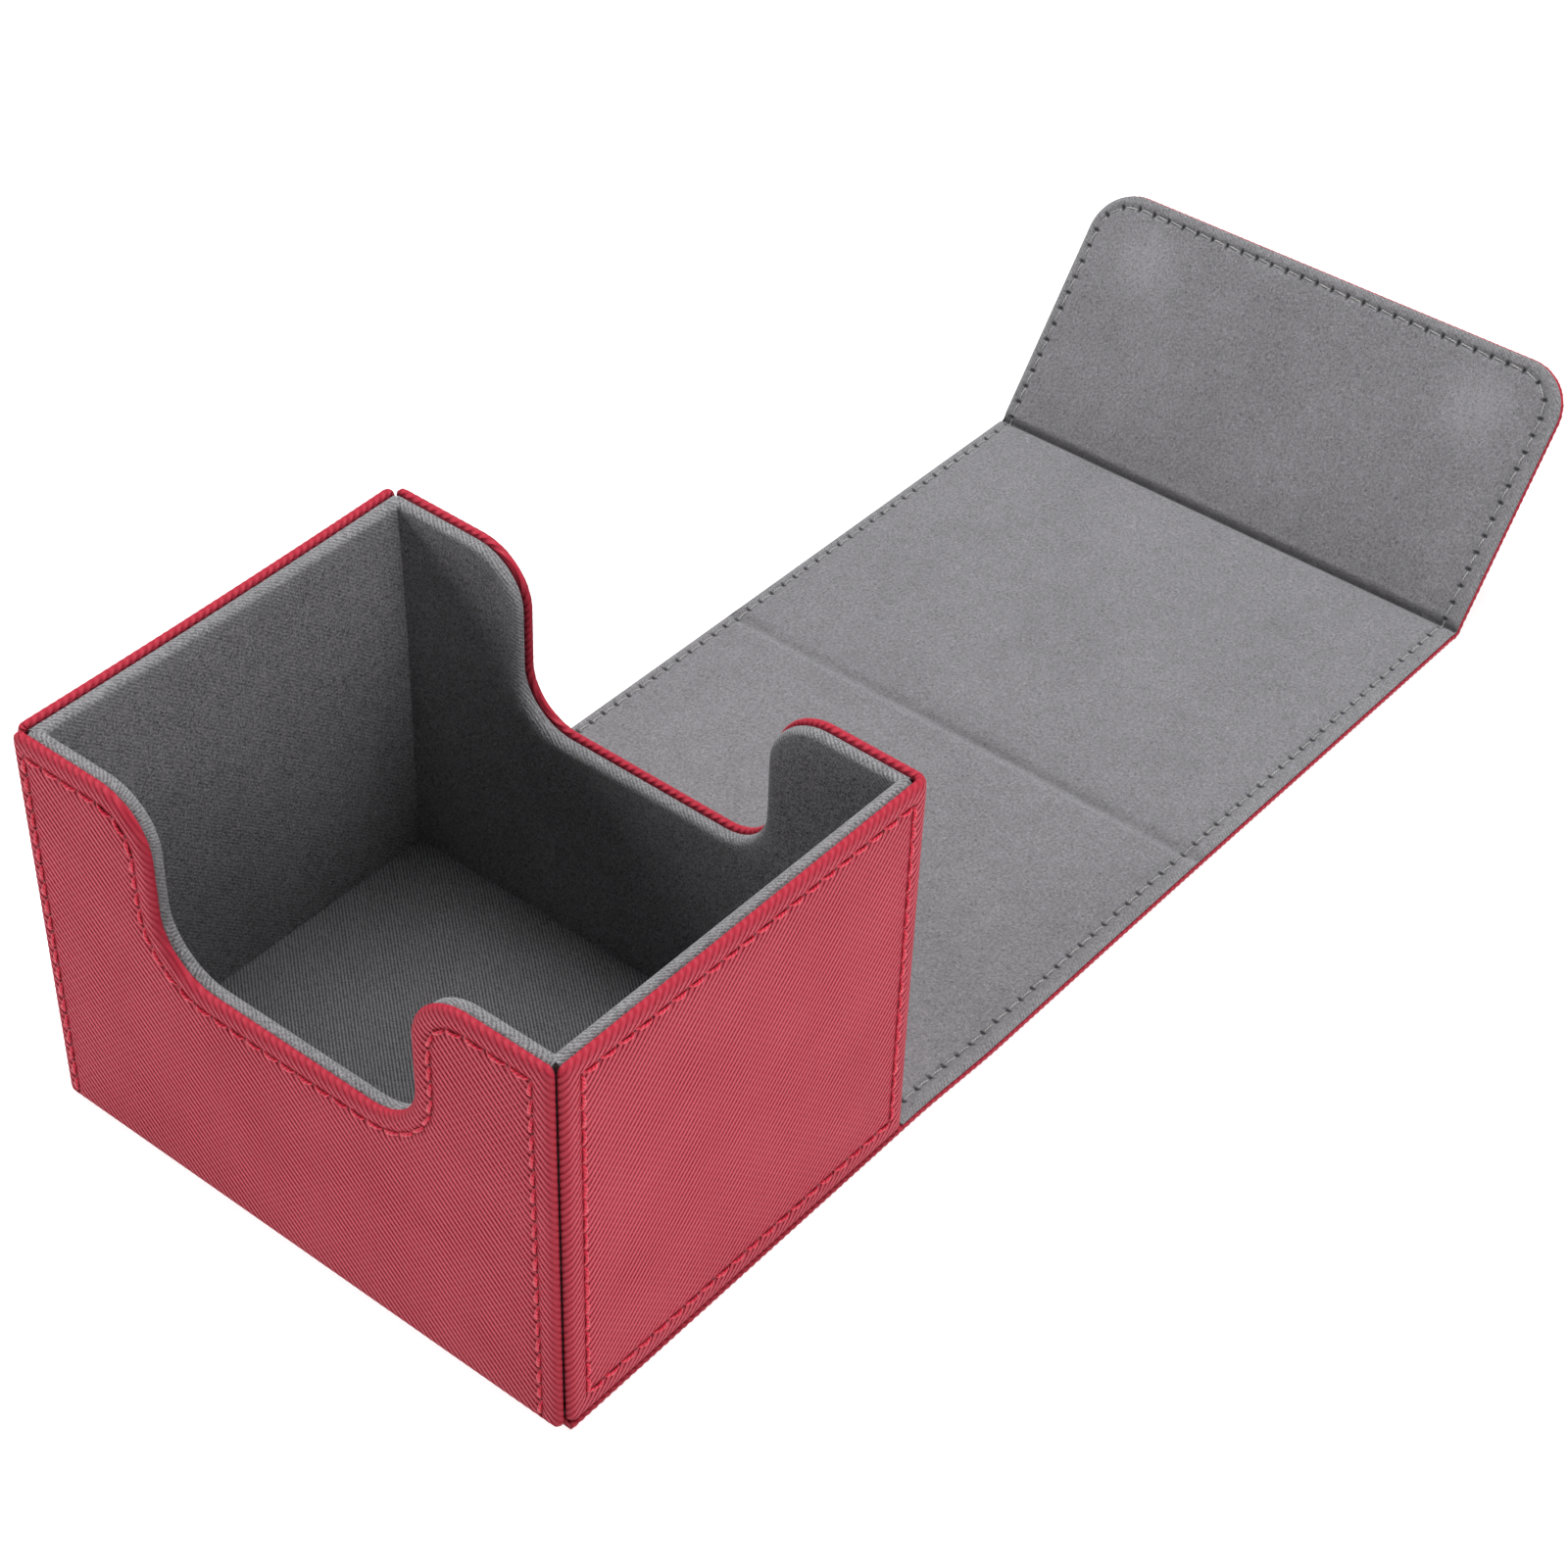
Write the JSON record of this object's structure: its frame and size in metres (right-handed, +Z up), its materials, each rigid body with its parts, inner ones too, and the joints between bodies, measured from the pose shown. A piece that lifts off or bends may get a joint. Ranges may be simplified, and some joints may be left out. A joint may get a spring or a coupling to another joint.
{
  "type": "card deck box",
  "caption": "Leather-covered card deck box: padded open tray with finger notches and a hinged cover with lid and magnetic flap, lying open.",
  "frame": {"origin": "centre of the tray's underside, on the table", "axes": "+X to the right along the notched front wall, +Y to the back, where the open cover lies, +Z up"},
  "size_m": [0.1054, 0.2808, 0.0736],
  "materials": {
    "crimson_leather": "satin twill-embossed synthetic leather",
    "grey_lining": "brushed knitted microfibre",
    "crimson_thread": "glossy twisted polyester thread",
    "grey_thread": "twisted polyester thread",
    "greyboard": "pressed greyboard",
    "liner_card": "dyed liner card",
    "magnet_steel": "nickel-plated magnet"
  },
  "bodies": {
    "tray": {"base_leather": "crimson_leather", "base_board": "greyboard", "floor_card": "liner_card", "floor_lining": "grey_lining", "front_leather": "crimson_leather", "front_board": "greyboard", "front_card": "liner_card", "front_lining": "grey_lining", "front_thread": "crimson_thread", "right_leather": "crimson_leather", "right_board": "greyboard", "right_card": "liner_card", "right_lining": "grey_lining", "right_thread": "crimson_thread", "back_leather": "crimson_leather", "back_board": "greyboard", "back_card": "liner_card", "back_lining": "grey_lining", "back_thread": "crimson_thread", "left_leather": "crimson_leather", "left_board": "greyboard", "left_card": "liner_card", "left_lining": "grey_lining", "left_thread": "crimson_thread", "front_magnets": "magnet_steel"},
    "back_cover": {"back_cover_leather": "crimson_leather", "back_cover_board": "greyboard", "back_cover_lining": "grey_lining", "back_cover_thread": "grey_thread"},
    "lid": {"lid_leather": "crimson_leather", "lid_board": "greyboard", "lid_lining": "grey_lining", "lid_thread": "grey_thread"},
    "flap": {"flap_leather": "crimson_leather", "flap_board": "greyboard", "flap_lining": "grey_lining", "flap_thread": "grey_thread", "flap_magnets": "magnet_steel"}
  },
  "joints": [
    {"name": "back_cover_fold", "type": "hinge", "parent": "tray", "child": "back_cover", "pos_m": [0, 0.0426, 0.0005], "axis": [1, 0, 0], "range_deg": [0, 90]},
    {"name": "lid_fold", "type": "hinge", "parent": "back_cover", "child": "lid", "pos_m": [0, 0.1221, 0.0005], "axis": [1, 0, 0], "range_deg": [0, 93.1]},
    {"name": "flap_fold", "type": "hinge", "parent": "lid", "child": "flap", "pos_m": [0, 0.209, 0.0005], "axis": [1, 0, 0], "range_deg": [-53, 35.5]}
  ]
}
